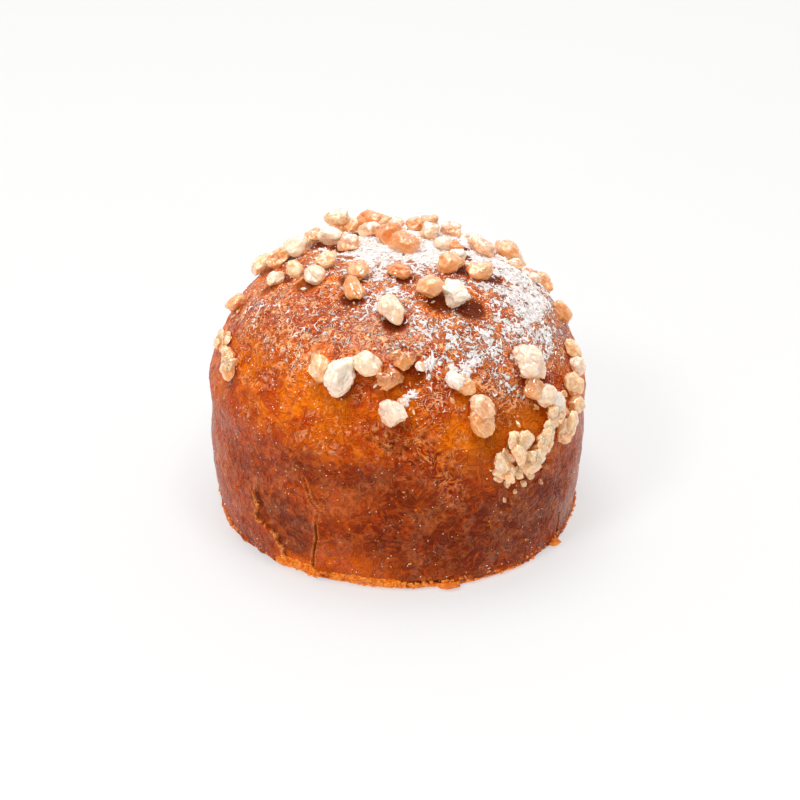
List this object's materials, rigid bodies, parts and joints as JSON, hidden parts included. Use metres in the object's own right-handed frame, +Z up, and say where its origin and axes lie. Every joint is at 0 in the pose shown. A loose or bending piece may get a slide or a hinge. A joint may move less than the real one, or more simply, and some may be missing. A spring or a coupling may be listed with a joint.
{
  "type": "mango brioche",
  "caption": "Round sweet bun with a straight moulded wall and a domed, glazed crown, topped with lumps of pearl sugar and a dusting of icing sugar.",
  "frame": {"origin": "centre of the flat base, on the surface that the brioche stands on", "axes": "+Z up from the base to the crown; -Y towards the side that the picture shows, +X to the right of it"},
  "size_m": [0.0891, 0.0917, 0.066],
  "materials": {
    "crust": "baked crust, egg-washed and glossy on the crown, drier on the wall, orange to red-brown",
    "pearl_sugar": "translucent sugar lumps, cream to caramel, slightly glossy",
    "icing_sugar": "dry white powder, matt"
  },
  "bodies": {
    "root": {"brioche": "crust"}
  },
  "joints": []
}
